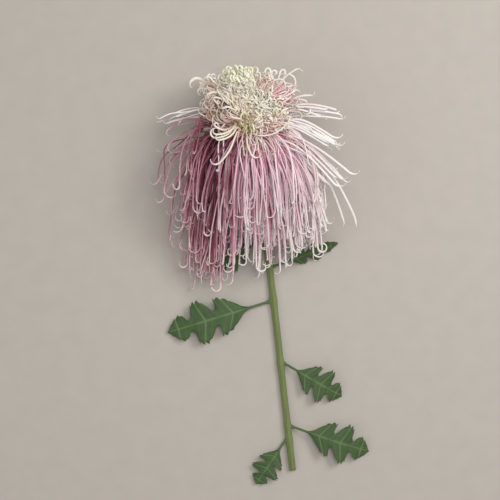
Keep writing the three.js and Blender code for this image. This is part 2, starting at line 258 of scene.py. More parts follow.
MIDDLE_WHORL = {
    "right_1": floret(66, 42, (54, 40, 4), (1, -0.02, 0), curl(2.6, 0.35, 0, 1, 0.3), fall=24),
    "right_2": floret(70, 22, (77, 23, 6), (1, -0.2, 0), curl(6, 0.28, 0, -1, 0), fall=46),
    "right_3": floret(66, 2, (75, -5, 18), (0.85, -0.53, 0), curl(7, 0.28, 0.3, 1, 0), fall=50),
    "right_4": floret(66, 342, (87, -30, 24), (0.77, -0.63, 0), curl(7, 0.32, 0.3, 1, 0), fall=62),
    "right_5": floret(66, 324, (73, -40, 34), (0.66, -0.75, 0), curl(8, 0.32, 0.4, 1, 0), fall=60),
    "right_6": floret(74, 8, (84, -73, 8), (0.3, -0.95, 0), curl(5, 0.22, -1, 0, 0), fall=64),
    "right_7": floret(78, 352, (93, -68, 14), (0.42, -0.9, 0), curl(22, 0.12, -1, -0.4, 0), fall=70),
    "top_1": floret(58, 62, (40, 65, -14), (0.85, 0.5, 0), curl(6, 0.32, 0.2, -1, 0), fall=22),
    "top_2": floret(52, 34, (39, 48, 12), (0.3, 0.95, 0), curl(8, 0.45, -1, 0.4, 0), fall=20),
    "top_3": floret(50, 96, (-10, 56, 0), (-0.2, 1, 0.1), curl(5.5, 0.6, 1, 0, 0.3), fall=22),
    "left_1": floret(62, 128, (-47, 56, -10), (-0.9, 0.35, 0), curl(6.5, 0.48, 0, -1, 0), fall=22),
    "left_2": floret(72, 156, (-76, 16, -6), (-0.9, -0.3, 0), curl(3, 0.35, 0, 1, 0.5)),
    "left_3": floret(64, 172, (-72, -4, 12), (-0.75, -0.65, 0), curl(6, 0.4, 1, -0.6, 0)),
    "left_4": floret(74, 190, (-78, -44, 8), (-0.2, -1, 0), curl(7, 0.5, 1, 0, 0), fall=50),
    "left_5": floret(80, 176, (-84, -36, -8), (-0.45, -0.9, 0), curl(6, 0.36, -1, 0.5, 0), fall=46),
    "front_1": floret(
        34, 222, (-27, -23, 44), (-0.75, -0.65, 0.1), curl(6, 0.4, -0.7, 0.7, 0), reach=30, fall=24,
    ),
    "front_2": floret(34, 196, (-30, -1, 40), (-1, -0.1, 0.1), curl(5, 0.62, 0, 1, 0.2), reach=26, fall=20),
    "front_3": floret(46, 264, (0, -16, 48), (0.4, -0.9, 0.1), curl(5.4, 0.48, 1, 0.3, 0), reach=28, fall=18),
    "front_4": floret(36, 350, (32, 12, 46), (-0.6, -0.8, 0), curl(32, 0.22, -1, 0.75, 0), reach=26, fall=14),
}

EXTRA_LOOK = ("cream", (0.7, 1), 0.9)  # palette, tone and full radius
EXTRA = {  # more florets that stand out, which no CAD node stands for
    "ring_1": floret(52, 76, (13, 62, 0), (0, 1, 0), curl(2.5, 1, 1, 0, 0.2), fall=24),
    "ring_2": floret(54, 70, (18, 61, -3), (0, 1, 0), curl(2.4, 1, 1, 0, 0.2), fall=24),
    "ring_3": floret(58, 62, (26.5, 62, -6), (0.3, 1, 0), curl(2.7, 1, 1, 0, 0.2), fall=24),
    "stub": floret(50, 80, (10, 58, 2), (-0.1, 1, 0), curl(4, 0.2, -1, 0, 0), fall=20),
    "shoulder_hook": floret(52, 60, (25, 54, 8), (1, 0.1, 0), curl(5, 0.55, 0, -1, 0), fall=14),
    "shoulder_drop": floret(56, 50, (35, 50, 6), (0.8, -0.3, 0), curl(10, 0.18, 0, -1, 0), fall=16),
    "knot_ring": floret(60, 122, (-32, 57, -2), (0, 1, 0), curl(2.4, 0.95, -1, 0, 0.2), fall=20),
    "left_loop": floret(60, 136, (-43, 46, 4), (-0.95, 0.2, 0), curl(4, 0.55, 0, -1, 0), fall=18),
    "arc_high": floret(48, 140, (-31, 40, 24), (-1, 0.2, 0), curl(7, 0.34, 0, -1, 0), reach=20, fall=14),
    "arc_middle": floret(44, 156, (-30, 35, 30), (-1, 0.15, 0), curl(7, 0.32, 0, -1, 0), reach=20, fall=16),
    "arc_inner": floret(32, 205, (-14, 16, 44), (-0.95, 0.1, 0), curl(5, 0.4, 0, 1, 0), reach=26, fall=14),
    "arc_low": floret(36, 206, (-30, 2, 42), (-1, 0.05, 0), curl(3.6, 0.5, 0, 1, 0.2), reach=28, fall=20),
    "arc_lowest": floret(34, 212, (-28, -3, 44), (-1, -0.1, 0), curl(2.6, 0.5, 0, 1, 0), reach=28, fall=20),
    "bud": floret(38, 200, (-31, 9, 42), (-0.7, 0.7, 0), curl(1.6, 0.9, 0.7, 0.7, 0.3), reach=24, fall=14),
}

EYE = dict(
    count=7, radius=0.75, tone=(0.4, 1), first_phi=20, rings=(20, 36), height=23, lean=0.9, reach=9, fall=9,
    curl_radius=4, curl_turns=0.55,
)


def eye_floret(theta, phi, height, curl_radius, curl_turns):
    outward = dome_normal(theta, phi)
    start = outward * (DOME_RADIUS + height)
    inwards = unit(AXIS * start.dot(AXIS) - start)
    heading = outward + EYE["lean"] * inwards
    curl_facts = curl(curl_radius, curl_turns, *(inwards - AXIS))
    return floret(theta, phi, start, heading, curl_facts, reach=EYE["reach"], fall=EYE["fall"])


def cad_eye_floret(index):
    phi = EYE["first_phi"] + index * 360 / EYE["count"]
    return eye_floret(EYE["rings"][index % 2], phi, EYE["height"], EYE["curl_radius"], EYE["curl_turns"])


# ---- Tufts: the florets between the placed ones ----
EYE_PLACE = (0, 17, 10)  # florets of a tuft with no heading of its own head away from it
USUAL = dict(
    heading=None, scatter=0.22, toward=(0, 0, 0), wobble=0.8, radius=0.7, tone=ANY_TONE, reach=(14, 24),
    fall=(12, 20),
)
RAYS = dict(
    USUAL, tone=(0.9, 1), radius=0.68, scatter=0.08, reach=(8, 14), fall=(12, 18), curl_radius=(5, 8),
    turns=(0.1, 0.3),
)
FAN = dict(
    USUAL, tone=(0.2, 1), radius=0.95, scatter=0.06, reach=(18, 26), curl_radius=(4, 8), turns=(0.1, 0.35),
    toward=(0.5, 1, 0),
)
ARCS = dict(USUAL, scatter=0.2, curl_radius=(5, 8.5), turns=(0.3, 0.6))


def tuft(count, palette, place, spread, theta, phi, family=USUAL, **facts):
    """Florets that curl about one place, spread along X, Y and depth. Other pairs are lowest and highest."""
    return dict(
        family, count=count, palette=palette, place=place, spread=spread, theta=theta, phi=phi, **facts
    )


TUFTS = {
    "crown_lobe": tuft(
        80, "lime", (-12, 54, 11), (10, 9, 11), (24, 62), (84, 124), tone=(0.7, 1), radius=1.0, scatter=0.12,
        fall=(8, 16), curl_radius=(2.4, 4.2), turns=(0.45, 0.9), toward=(0, -0.5, 0.8),
    ),
    "crown_middle": tuft(
        80, "glow", (-8, 37, 24), (17, 9, 8), (8, 46), (60, 160), tone=(0.8, 1), radius=0.95, scatter=0.14,
        reach=(10, 18), fall=(8, 14), curl_radius=(3.5, 6), turns=(0.15, 0.45),
    ),
    "crown_right": tuft(
        44, "peach", (15, 46, 7), (8, 9, 9), (28, 60), (58, 88), tone=(0.5, 1), radius=0.9, fall=(8, 16),
        curl_radius=(2.2, 3.8), turns=(0.4, 0.9),
    ),
    "crown_loops": tuft(
        5, "cream", (17, 56, 2), (7, 4, 6), (44, 62), (60, 84), tone=(0.7, 1), radius=0.85, reach=(14, 22),
        curl_radius=(2, 3), turns=(0.8, 1.1),
    ),
    "pink_shoulder": tuft(
        42, "pink", (25, 40, 20), (11, 8, 7), (38, 64), (20, 60), tone=(0, 0.7), radius=0.82,
        heading=(0.85, 0.45, 0), scatter=0.12, reach=(10, 18), fall=(18, 26), curl_radius=(4, 8),
        turns=(0.1, 0.35),
    ),
    "shoulder_curls": tuft(
        16, "cream", (40, 30, 6), (8, 5, 6), (50, 70), (6, 40), tone=(0.4, 1), heading=(1, 0.05, 0),
        reach=(14, 22), fall=(20, 30), curl_radius=(2.5, 4.5), turns=(0.3, 0.8),
    ),
    # Deep peach florets where the crown dips: painted shade in its hollow.
    "crown_hollow_painted_shade": tuft(
        24, "peach", (-9, 42, 24), (9, 6, 6), (10, 40), (80, 130), tone=(0, 0.7), radius=0.8, scatter=0.14,
        reach=(10, 18), fall=(8, 14), curl_radius=(3, 5), turns=(0.15, 0.45),
    ),
    "eye_right": tuft(
        70, "glow", (15, 27, 28), (12, 10, 5), (8, 50), (-50, 70), tone=(0.8, 1), radius=0.92, scatter=0.2,
        reach=(8, 14), fall=(5, 11), curl_radius=(2.8, 4.8), turns=(0.15, 0.5),
    ),
    "eye_low": tuft(
        40, "peach", (17, 12, 29), (14, 7, 5), (20, 54), (-80, -10), tone=(0.5, 1), radius=0.75, scatter=0.2,
        reach=(8, 14), fall=(6, 12), curl_radius=(2.6, 4.6), turns=(0.15, 0.6),
    ),
    "rays_up": tuft(48, "glow", (-6, 39, 30), (17, 6, 3), (4, 26), (50, 150), RAYS),
    "rays_right": tuft(40, "glow", (18, 26, 33), (6, 12, 3), (4, 26), (-50, 50), RAYS),
    "fan_upper": tuft(
        8, "white", (64, 24, 8), (14, 6, 7), (60, 72), (14, 30), FAN, heading=(1, -0.2, 0), fall=(42, 48),
        curl_radius=(4, 7), turns=(0.15, 0.4), toward=(0, 0, 0),
    ),
    "fan_middle": tuft(
        8, "white", (67, -2, 16), (14, 6, 8), (58, 70), (352, 370), FAN, heading=(0.85, -0.53, 0),
        fall=(56, 62),
    ),
    "fan_low": tuft(
        10, "white", (71, -33, 20), (14, 7, 8), (58, 72), (336, 354), FAN, radius=0.98,
        heading=(0.7, -0.71, 0), reach=(18, 28), fall=(66, 74),
    ),
    "fan_fall": tuft(
        30, "blush", (57, -64, 16), (11, 20, 12), (55, 82), (326, 368), tone=(0.5, 1), radius=0.8,
        heading=(0.3, -0.95, 0), scatter=0.07, reach=(22, 34), fall=(58, 74), curl_radius=(3.5, 7),
        turns=(0.1, 0.5), wobble=1.2,
    ),
    # The left arcs take cream florets darkened to brown: painted shade on the crown's left side.
    "left_arcs_high": tuft(
        48, "cream_painted_shade", (-27, 37, 12), (11, 9, 12), (34, 70), (120, 176), ARCS, tone=(0.3, 1), radius=0.65,
        toward=(-0.2, -1, 0),
    ),
    "left_arcs_low": tuft(
        44, "cream_painted_shade", (-25, 17, 22), (12, 9, 10), (30, 66), (160, 222), ARCS, radius=0.62, toward=(0, 1, 0),
    ),
    "left_pink": tuft(
        18, "pink", (-23, 13, 23), (7, 12, 6), (30, 66), (160, 230), tone=(0, 0.4), radius=0.65,
        reach=(14, 22), curl_radius=(4, 7), turns=(0.1, 0.5),
    ),
    "left_knot": tuft(
        32, "cream", (-33, 49, 3), (8, 6, 8), (46, 70), (112, 146), tone=(0.8, 1), radius=0.85, scatter=0.2,
        curl_radius=(2.2, 4), turns=(0.5, 1),
    ),
    "left_shoulder": tuft(
        46, "rose_painted_shade", (-54, -52, 14), (9, 34, 13), (48, 80), (160, 205), tone=(0, 0.9), heading=(-0.1, -1, 0),
        scatter=0.06, reach=(24, 36), fall=(50, 70), curl_radius=(3, 6), turns=(0.1, 0.6), wobble=1.4,
    ),
    "eye_drips": tuft(
        10, "cream", (5, -10, 41), (15, 8, 4), (32, 52), (240, 305), tone=(0.2, 0.9), radius=0.52,
        heading=(0.1, -1, 0), scatter=0.3, reach=(14, 20), curl_radius=(2.4, 4.2), turns=(0.4, 0.9),
    ),
    "left_sweep": tuft(
        6, "white", (-68, 21, 2), (10, 3, 5), (60, 74), (148, 164), tone=(0, 0.8), radius=0.6,
        heading=(-0.92, -0.38, 0), scatter=0.06, reach=(20, 26), fall=(34, 44), curl_radius=(2, 4),
        turns=(0.1, 0.4),
    ),
    "left_wisps": tuft(
        8, "rose_painted_shade", (-68, 4, -2), (11, 14, 9), (66, 86), (150, 186), tone=(0.5, 1), radius=0.55,
        heading=(-0.85, -0.45, 0), reach=(20, 30), fall=(34, 46), curl_radius=(3, 7), turns=(0.2, 0.5),
        wobble=1.6,
    ),
    "left_fall": tuft(
        8, "rose_painted_shade", (-73, -58, 0), (8, 30, 12), (70, 94), (168, 204), tone=(0.3, 1), radius=0.55,
        heading=(-0.15, -1, 0), reach=(26, 36), fall=(44, 60), curl_radius=(4, 8), turns=(0.3, 0.7),
        wobble=1.8,
    ),
    "fringe_left": tuft(
        32, "rose_painted_shade", (-44, -112, 8), (16, 17, 18), (82, 100), (192, 255), tone=(0.4, 1), radius=0.6,
        heading=(-0.05, -1, 0), scatter=0.12, reach=(28, 38), fall=(44, 60), curl_radius=(1.8, 3.4),
        turns=(0.5, 1.1), wobble=1.8,
    ),
    "pink_strands": tuft(
        14, "pink", (32, -62, 22), (11, 22, 7), (50, 80), (280, 345), tone=(0, 0.7), heading=(0.1, -1, 0),
        scatter=0.06, reach=(20, 30), fall=(50, 64), curl_radius=(3, 6), turns=(0.1, 0.5), wobble=1.2,
    ),
    "flow": tuft(
        110, "flow", (10, -68, 28), (40, 38, 9), (20, 64), (222, 336), radius=0.68, heading=(0, -1, 0),
        scatter=0.06, reach=(12, 22), fall=(40, 58), curl_radius=(2.5, 6), turns=(0.1, 0.75), wobble=1.2,
    ),
}
CURTAIN_FILL = dict(
    count=440, radius=0.72, wobble=1.6, golden=0.618034, front_share=0.66, inmost=0.4, theta=98,
    whorl_theta=48, front_theta=16, whorl_drop=0.2, front_whorl_drop=0.35, drop_spread=(-8, 24),
    whorl_lift=12, reach=(24, 40), whorl_reach=0.4, fall=(44, 64), curl_radius=(2.4, 6.5), turns=(0.06, 0.75),
    toward=(1, 0.3, 0.6), splay=(0, 0.16), scatter=0.04,
)
EYE_FILL = dict(
    count=90, radius=0.55, radius_spread=(0.85, 1.15), wobble=0.8, theta=(6, 40), phi_spread=(-12, 12),
    height=(6, 16), inmost_height=0.6, curl_radius=(2, 3.6), turns=(0.3, 0.7),
)
PLACE_SCATTER = 0.6  # of a tuft's spread
PLACE_LIMIT = 1.2  # no curl of a tuft starts outside this share of its spread
COMBING = 1.5  # how far neighbours go the same way
OWN_CURL = 0.4  # and how far each floret goes its own
OWN_HEADING = 0.6
COMB_SHIFTS = 12.7 * np.eye(3)  # sets the noise of each axis apart from the others
LOW_BIAS = 1.7


def scattered(middle, spread):
    """A place about the middle, never far outside the spread."""
    shares = np.clip(rng.normal(0, PLACE_SCATTER, 3), -PLACE_LIMIT, PLACE_LIMIT)
    return np.asarray(middle, float) + np.asarray(spread) * shares


def mostly_low(low, high):
    return low + (high - low) * rng.random() ** LOW_BIAS


def tuft_floret(facts):
    """A floret of a tuft. Neighbours bend and curl much alike, as combed hair does."""
    start = scattered(facts["place"], facts["spread"])
    combed = [noise.noise(start * CLUMP_GRAIN + shift) for shift in COMB_SHIFTS]
    combed = COMBING * np.array(combed) + rng.normal(0, OWN_CURL, 3)
    heading = unit(facts["heading"] or start - EYE_PLACE)
    return dict(
        theta=rng.uniform(*facts["theta"]),
        phi=rng.uniform(*facts["phi"]),
        start=start,
        heading=heading + facts["scatter"] * (combed + rng.normal(0, OWN_HEADING, 3)),
        reach=rng.uniform(*facts["reach"]),
        fall=rng.uniform(*facts["fall"]),
        curl=curl(
            rng.uniform(*facts["curl_radius"]), rng.uniform(*facts["turns"]), *(facts["toward"] + combed)
        ),
    )


def curtain_fill_floret(index):
    """A strand between those of the CAD's curtain. Outer whorls hang inside and low, and inner ones fall over
    them from nearer the eye, and end higher up."""
    c, fill = CURTAIN, CURTAIN_FILL
    front = fill["front_share"]
    phi = np.interp(index * fill["golden"] % 1, (0, front, 1), (180, 360, 540))
    sideways, backwards = math.cos(math.radians(phi)), math.sin(math.radians(phi))
    frontness = max(0, -backwards)
    whorl = rng.random()
    inner = math.sqrt(rng.uniform(fill["inmost"] ** 2, 1.0))
    drop = curtain_drop(sideways * inner, backwards * inner)
    drop *= 1 - whorl * (fill["whorl_drop"] + fill["front_whorl_drop"] * frontness)
    toward = rng.normal(0, 1, 3) * fill["toward"]
    return dict(
        theta=fill["theta"] - whorl * (fill["whorl_theta"] + fill["front_theta"] * frontness),
        phi=phi,
        start=(
            c["middle"] + c["half_width"] * sideways * inner,
            -drop - rng.uniform(*fill["drop_spread"]),
            -c["half_depth"] * backwards * inner + fill["whorl_lift"] * whorl * frontness,
        ),
        heading=(
            rng.uniform(*fill["splay"]) * sideways + rng.normal(0, fill["scatter"]),
            -1,
            rng.normal(0, fill["scatter"]),
        ),
        reach=rng.uniform(*fill["reach"]) * (1 - fill["whorl_reach"] * whorl * frontness),
        fall=rng.uniform(*fill["fall"]),
        curl=curl(rng.uniform(*fill["curl_radius"]), mostly_low(*fill["turns"]), *toward),
    )


def eye_fill_floret(index):
    fill = EYE_FILL
    share = (index + rng.random()) / fill["count"]
    low, high = fill["theta"]
    inmost = fill["inmost_height"]
    return eye_floret(
        low + (high - low) * math.sqrt(share),
        index * GOLDEN_ANGLE + rng.uniform(*fill["phi_spread"]),
        rng.uniform(*fill["height"]) * (inmost + (1 - inmost) * share),
        rng.uniform(*fill["curl_radius"]),
        rng.uniform(*fill["turns"]),
    )


# ---- All the florets, group by group ----
HERO_WOBBLE = 0.35
HERO_GIVE = 0.15  # how far a floret that stands for a CAD node may be pushed, as a share of the others
HERO_LOOKS = {  # palette, tone and full radius of the middle whorl's florets that stand for CAD nodes
    "right": ("white", (0.6, 1), 1.0),
    "top": ("cream", (0.7, 1), 0.85),
    "left": ("rose_painted_shade", (0.6, 1), 0.7),
    "left_2": ("white", (0, 0.8), 0.85),
    "front": ("cream", (0.8, 1), 0.88),
    "left_1": ("cream", (1, 1), 1.6),
    "front_4": ("cream", (0.8, 1), 0.65),
}
RADIUS_SPREAD = (0.8, 1.15)  # of the full radius, in tufts and in the curtain
CURTAIN_BANDS = (  # from the left: the right edge of each band of the curtain, and its palette. The deep pink band at the left is the florets' own colour darkened further as painted shade, for the side away from the key light
    (-26, "rose_painted_shade"), (-9, "mauve"), (12, "blush"), (23, "mauve"), (math.inf, "blush"),
)
BAND_BLUR = 9


def curtain_palette(strand):
    x = strand.line[STALK_STEPS][0] + rng.normal(0, BAND_BLUR)
    return next(palette for edge, palette in CURTAIN_BANDS if x < edge)


heroes = {}
for i in range(CURTAIN["count"]):
    strand = Strand(curtain_floret(i), CURTAIN["radius"], ANY_TONE, HERO_WOBBLE, HERO_GIVE)
    heroes[f"outer_floret_{i + 1}"] = (curtain_palette(strand), "outer_florets", strand)
for place, shape in MIDDLE_WHORL.items():
    palette, tones, radius = HERO_LOOKS.get(place) or HERO_LOOKS[place.split("_")[0]]
    strand = Strand(shape, radius, tones, HERO_WOBBLE, HERO_GIVE)
    heroes["middle_floret_" + place] = (palette, "middle_florets", strand)
for i in range(EYE["count"]):
    strand = Strand(cad_eye_floret(i), EYE["radius"], EYE["tone"], HERO_WOBBLE, HERO_GIVE)
    heroes[f"eye_floret_{i + 1}"] = ("lime", "eye_florets", strand)

palette, tones, radius = EXTRA_LOOK
strands = [Strand(shape, radius, tones, HERO_WOBBLE, HERO_GIVE) for shape in EXTRA.values()]
groups = {"extra": (palette, "middle_florets", strands)}
for name, facts in TUFTS.items():
    strands = []
    for _ in range(facts["count"]):
        radius = facts["radius"] * rng.uniform(*RADIUS_SPREAD)
        strands.append(Strand(tuft_floret(facts), radius, facts["tone"], facts["wobble"]))
    groups[name] = (facts["palette"], "middle_florets", strands)
for i in range(CURTAIN_FILL["count"]):
    radius = CURTAIN_FILL["radius"] * rng.uniform(*RADIUS_SPREAD)
    strand = Strand(curtain_fill_floret(i), radius, ANY_TONE, CURTAIN_FILL["wobble"])
    palette = curtain_palette(strand)
    groups.setdefault("curtain_" + palette, (palette, "outer_florets", []))[2].append(strand)
strands = []
for i in range(EYE_FILL["count"]):
    shape = eye_fill_floret(i)
    radius = EYE_FILL["radius"] * rng.uniform(*EYE_FILL["radius_spread"])
    strands.append(Strand(shape, radius, ANY_TONE, EYE_FILL["wobble"]))
groups["eye"] = ("lime", "eye_florets", strands)

# ---- Strands that would run through each other push each other apart ----
PUSH_ROUNDS = 6
PUSH_SHARE = 0.5
EASING_ROUNDS = 3
TOUCHING = 2.4  # points farther apart than this are left alone
LEAST_DISTANCE = 0.01
LOOSENS = (0.03, 0.2)  # a strand is held at its seat, and loosens between these shares of its length


def eased(push, owner):
    """A push spread over the neighbouring points of the same strand."""
    same = (owner[1:] == owner[:-1])[:, None]
    before, after = push.copy(), push.copy()
    before[1:] = np.where(same, push[:-1], push[1:])
    after[:-1] = np.where(same, push[1:], push[:-1])
    return (before + 2 * push + after) / 4


def spread_apart(strands):
    counts = [len(s.line) for s in strands]
    points = np.vstack([s.line for s in strands])
    owner = np.repeat(np.arange(len(strands)), counts)
    radius = np.repeat([s.radius for s in strands], counts)
    share = np.concatenate([np.linspace(0, 1, n) for n in counts])
    loose = smooth(share, *LOOSENS) * np.repeat([s.give for s in strands], counts)
    owners = owner.tolist()
    for _ in range(PUSH_ROUNDS):
        tree = kdtree.KDTree(len(points))
        for i, point in enumerate(points):
            tree.insert(point, i)
        tree.balance()
        first, second = np.array([
            (i, j)
            for i, point in enumerate(points)
            for _, j, _ in tree.find_range(point, TOUCHING)
            if j > i and owners[i] != owners[j]
        ]).T
        gap = points[first] - points[second]
        distance = np.linalg.norm(gap, axis=1)
        overlap = np.clip(radius[first] + radius[second] - distance, 0, None)
        push = gap * (PUSH_SHARE * overlap / np.maximum(distance, LEAST_DISTANCE))[:, None]
        total = np.zeros_like(points)
        np.add.at(total, first, push)
        np.add.at(total, second, -push)
        for _ in range(EASING_ROUNDS):
            total = eased(total, owner)
        points += total * loose[:, None]
        points[:, 2] = np.clip(points[:, 2], radius, CEILING - HEAD[2] - radius)
    for strand, line in zip(strands, np.split(points, np.cumsum(counts)[:-1])):
        strand.line = line


spread_apart([hero[2] for hero in heroes.values()] + [s for group in groups.values() for s in group[2]])

# ---- Closed skins over rings of points ----
MAP_MARGIN = 0.1  # of a column of the map
CAP_SHARE = 0.02  # of the map's height, for a skin's end
CAP_RADIUS = 0.4  # of a column's width and of the height for the end
ANY_DIRECTION = (0.3, 0.2, 1)  # that no line starts in
TIP_POINTS = 6  # the last points of a line, which say where the inside of its curl is


def around(sides):
    """The angles of a ring's corners."""
    return np.arange(sides) * math.tau / sides


def tube(line, sideways, upwards, right, up):
    """Rings about a line, from how far each corner is to the right and up."""
    return line[:, None] + right[:, None] * sideways[..., None] + up[:, None] * upwards[..., None]


def add_object(name, data, place=(0, 0, 0)):
    added = bpy.data.objects.new(name, data)
    added.location = place
    bpy.context.scene.collection.objects.link(added)
    return added


def skin_piece(name, skins, material, replaced=(), folds=1):
    """One piece of several closed skins. A skin is its rings of points, how far along it each ring is, and
    its point attributes. It is unrolled into a column of the map, or into several where it is folded."""
    verts, faces, wraps, maps, values = [], [], [], [], {}
    columns = len(skins) * folds
    first = 0
    for number, (rings, share, attributes) in enumerate(skins):
        rows, sides = rings.shape[:2]
        verts.append(rings.reshape(-1, 3))
        for key, value in attributes.items():
            values.setdefault(key, []).append(np.broadcast_to(value, (rows, sides)).ravel())
        row, side = (index.ravel()[:, None] for index in np.indices((rows - 1, sides)))
        corner_row = row + np.array((0, 0, 1, 1))
        corner_side = side + np.array((0, 1, 1, 0))
        faces.extend((first + corner_row * sides + corner_side % sides).tolist())
        turned, along = corner_side / sides, share[corner_row]
        fold = np.clip((along.mean(axis=1) * folds).astype(int), 0, folds - 1)[:, None]
        within = np.clip(along * folds - fold, 0, 1)
        wraps.append(np.dstack((turned, along)).reshape(-1, 2))
        across = number * folds + fold + MAP_MARGIN + (1 - 2 * MAP_MARGIN) * turned
        maps.append(np.dstack((across / columns, CAP_SHARE + (1 - 2 * CAP_SHARE) * within)).reshape(-1, 2))

        corners = np.arange(sides)
        disc = [0.5 + CAP_RADIUS * wave(around(sides)) for wave in (np.cos, np.sin)]
        for end, order in ((0, corners[::-1]), (1, corners)):
            faces.append((first + end * (rows - 1) * sides + order).tolist())
            wraps.append(np.column_stack((order / sides, np.full(sides, share[-end]))))
            column = number * folds + end * (folds - 1)
            maps.append(np.column_stack(((column + disc[0]) / columns, abs(end - CAP_SHARE * disc[1]))))
        first += rows * sides

    mesh = bpy.data.meshes.new(name)
    mesh.from_pydata(to_frame(np.vstack(verts)).tolist(), [], faces)
    mesh.uv_layers.new(name="Wrap").data.foreach_set("uv", np.vstack(wraps).ravel())
    mesh.uv_layers.new(name="OFBake").data.foreach_set("uv", np.vstack(maps).ravel())
    for key, parts in values.items():
        mesh.attributes.new(key, "FLOAT", "POINT").data.foreach_set("value", np.concatenate(parts))
    mesh.shade_smooth()
    mesh.materials.append(material)
    piece = add_object(name, mesh)
    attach(piece, BODY)
    if replaced:
        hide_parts(*replaced)


def crosswise(points):
    """Two directions across the line at each point, which turn as little as they can along it. At the tip the
    second one points to the inside of the curl."""
    along = np.gradient(points, axis=0)
    along /= np.linalg.norm(along, axis=1)[:, None]
    first = np.cross(along[0], ANY_DIRECTION)
    across = []
    for direction in along:
        first = unit(first - direction * first.dot(direction))
        across.append(first)
    across = np.array(across)
    other = np.cross(along, across)
    inside = along[-1] - along[-TIP_POINTS]
    turn = math.atan2(inside.dot(other[-1]), inside.dot(across[-1])) - math.pi / 2
    return (
        across * math.cos(turn) + other * math.sin(turn),
        other * math.cos(turn) - across * math.sin(turn),
    )


# ---- Materials ----
BUMP_STRENGTH = 0.5


def linear(colour):
    """An sRGB colour as the linear one that shaders take."""
    shares = [part / 255 for part in bytes.fromhex(colour[1:])]
    return [*(s / 12.92 if s <= 0.04045 else ((s + 0.055) / 1.055) ** 2.4 for s in shares), 1]


class Nodes:
    """A node material being made."""

    def __init__(self, name):
        self.material = bpy.data.materials.new(name)
        self.material.use_nodes = True
        self.tree = self.material.node_tree
        self.shader = self.tree.nodes["Principled BSDF"]

    def add(self, kind, inputs=(), **settings):
        node = self.tree.nodes.new("ShaderNode" + kind)
        for key, value in settings.items():
            setattr(node, key, value)
        for key, value in dict(inputs).items():
            self.feed(node.inputs[key], value)
        return node

    def feed(self, socket, value):
        if isinstance(value, bpy.types.NodeSocket):
            self.tree.links.new(value, socket)
        else:
            socket.default_value = value

    def math(self, operation, *values):
        return self.add("Math", dict(enumerate(values)), operation=operation).outputs[0]

    def times(self, *values):
        return self.math("MULTIPLY", *values)

    def mix(self, share, first, second, blend="MIX"):
        node = self.add("Mix", data_type="RGBA", blend_type=blend)
        for key, value in (("Factor_Float", share), ("A_Color", first), ("B_Color", second)):
            self.feed(next(s for s in node.inputs if s.identifier == key), value)
        return next(s for s in node.outputs if s.identifier == "Result_Color")

    def ramp(self, share, stops):
        node = self.add("ValToRGB", {"Fac": share})
        elements = node.color_ramp.elements
        while len(elements) < len(stops):
            elements.new(0.5)
        for element, (position, colour) in zip(elements, stops):
            element.position = position
            element.color = linear(colour)
        return node.outputs[0]

    def noise(self, scale, detail=2.0, vector=None):
        inputs = {"Scale": scale, "Detail": detail}
        if vector is not None:
            inputs["Vector"] = vector
        return self.add("TexNoise", inputs).outputs["Fac"]

    def spread(self, value, low, high):
        """A value of 0 to 1 mapped to the range from low to high."""
        return self.add("MapRange", {"Value": value, "To Min": low, "To Max": high}).outputs[0]

    def value(self, attribute):
        return self.add("Attribute", attribute_name=attribute).outputs["Fac"]

    def place(self):
        return self.add("TexCoord").outputs["Object"]

    def bump(self, height, distance):
        inputs = {"Height": height, "Strength": BUMP_STRENGTH, "Distance": distance}
        return self.add("Bump", inputs).outputs[0]

    def surface(self, **inputs):
        for key, value in inputs.items():
            self.feed(self.shader.inputs[key.replace("_", " ")], value)
        return self.material


STOPS = (0.06, 0.4, 0.82, 0.98)  # how far along a floret its seat, middle, curl and tip colours are
PALETTES = {  # the four colours of a deep floret and of a pale one
    # The first palette is a deep pink of the florets' own, darkened further as painted shade for the flower's
    # left side, away from the key light.
    "rose_painted_shade": (("#501826", "#6a2a3a", "#985468", "#deb4bc"), ("#88485c", "#aa6e84", "#cea2b2", "#f3dfe2")),
    "mauve": (("#bc7080", "#be6a8a", "#d79eb6", "#f3dbdf"), ("#dcacb2", "#e3c0d2", "#efd8e3", "#fcf3f3")),
    "blush": (("#dea0ae", "#e7b2c8", "#f3d4e1", "#fbf2f0"), ("#eac6ca", "#f5e0e8", "#fbeff3", "#fefbf9")),
    "white": (("#deb4be", "#eed6de", "#f9eef0", "#fefaf6"), ("#f4dede", "#faf1f3", "#fefafa", "#fffdfa")),
    "flow": (("#d4b2a6", "#e6bcc4", "#e8c0d0", "#f6e7e8"), ("#e0c6a6", "#f2dee0", "#f6e8ee", "#fdf9f7")),
    "pink": (("#c8506c", "#de688a", "#eeaabe", "#f9e6e1"), ("#ec92aa", "#f2b2c6", "#f7dae0", "#fcf4f0")),
    "cream": (("#ac926c", "#ccb29c", "#e0cdbf", "#f3e9de"), ("#d8cc9e", "#f0e4d2", "#f8f1e6", "#fefbf5")),
    # This brown palette is cream florets darkened as painted shade, for the arcs on the crown's left side.
    "cream_painted_shade": (("#785842", "#926a60", "#b49288", "#e4d3c9"), ("#baa07c", "#d6b8aa", "#ead8cc", "#fbf3ea")),
    "glow": (("#d2a480", "#e0b69c", "#e9cdb8", "#f4e6d5"), ("#e6d8a8", "#f3e5ca", "#f9efdc", "#fdf9ec")),
    "lime": (("#b8b062", "#d8d096", "#e8e4b8", "#f4f1d2"), ("#d8d68c", "#eeedbe", "#f6f6d4", "#fcfcea")),
    "peach": (("#ac7456", "#da9a8e", "#ebc2b9", "#f6e3db"), ("#d0ac82", "#ebc8bc", "#f5dfd5", "#fdf3ed")),
}
BLOTCH_SCALE = 160
BLOTCH_SHIFT = 0.14  # how far blotches move the colours along a floret
BLOTCH_TONE = 0.25
FIBRE_SCALE = 1400
FIBRE_HEIGHT = 0.8  # of a ridge's height
RIDGES = 5  # round a floret
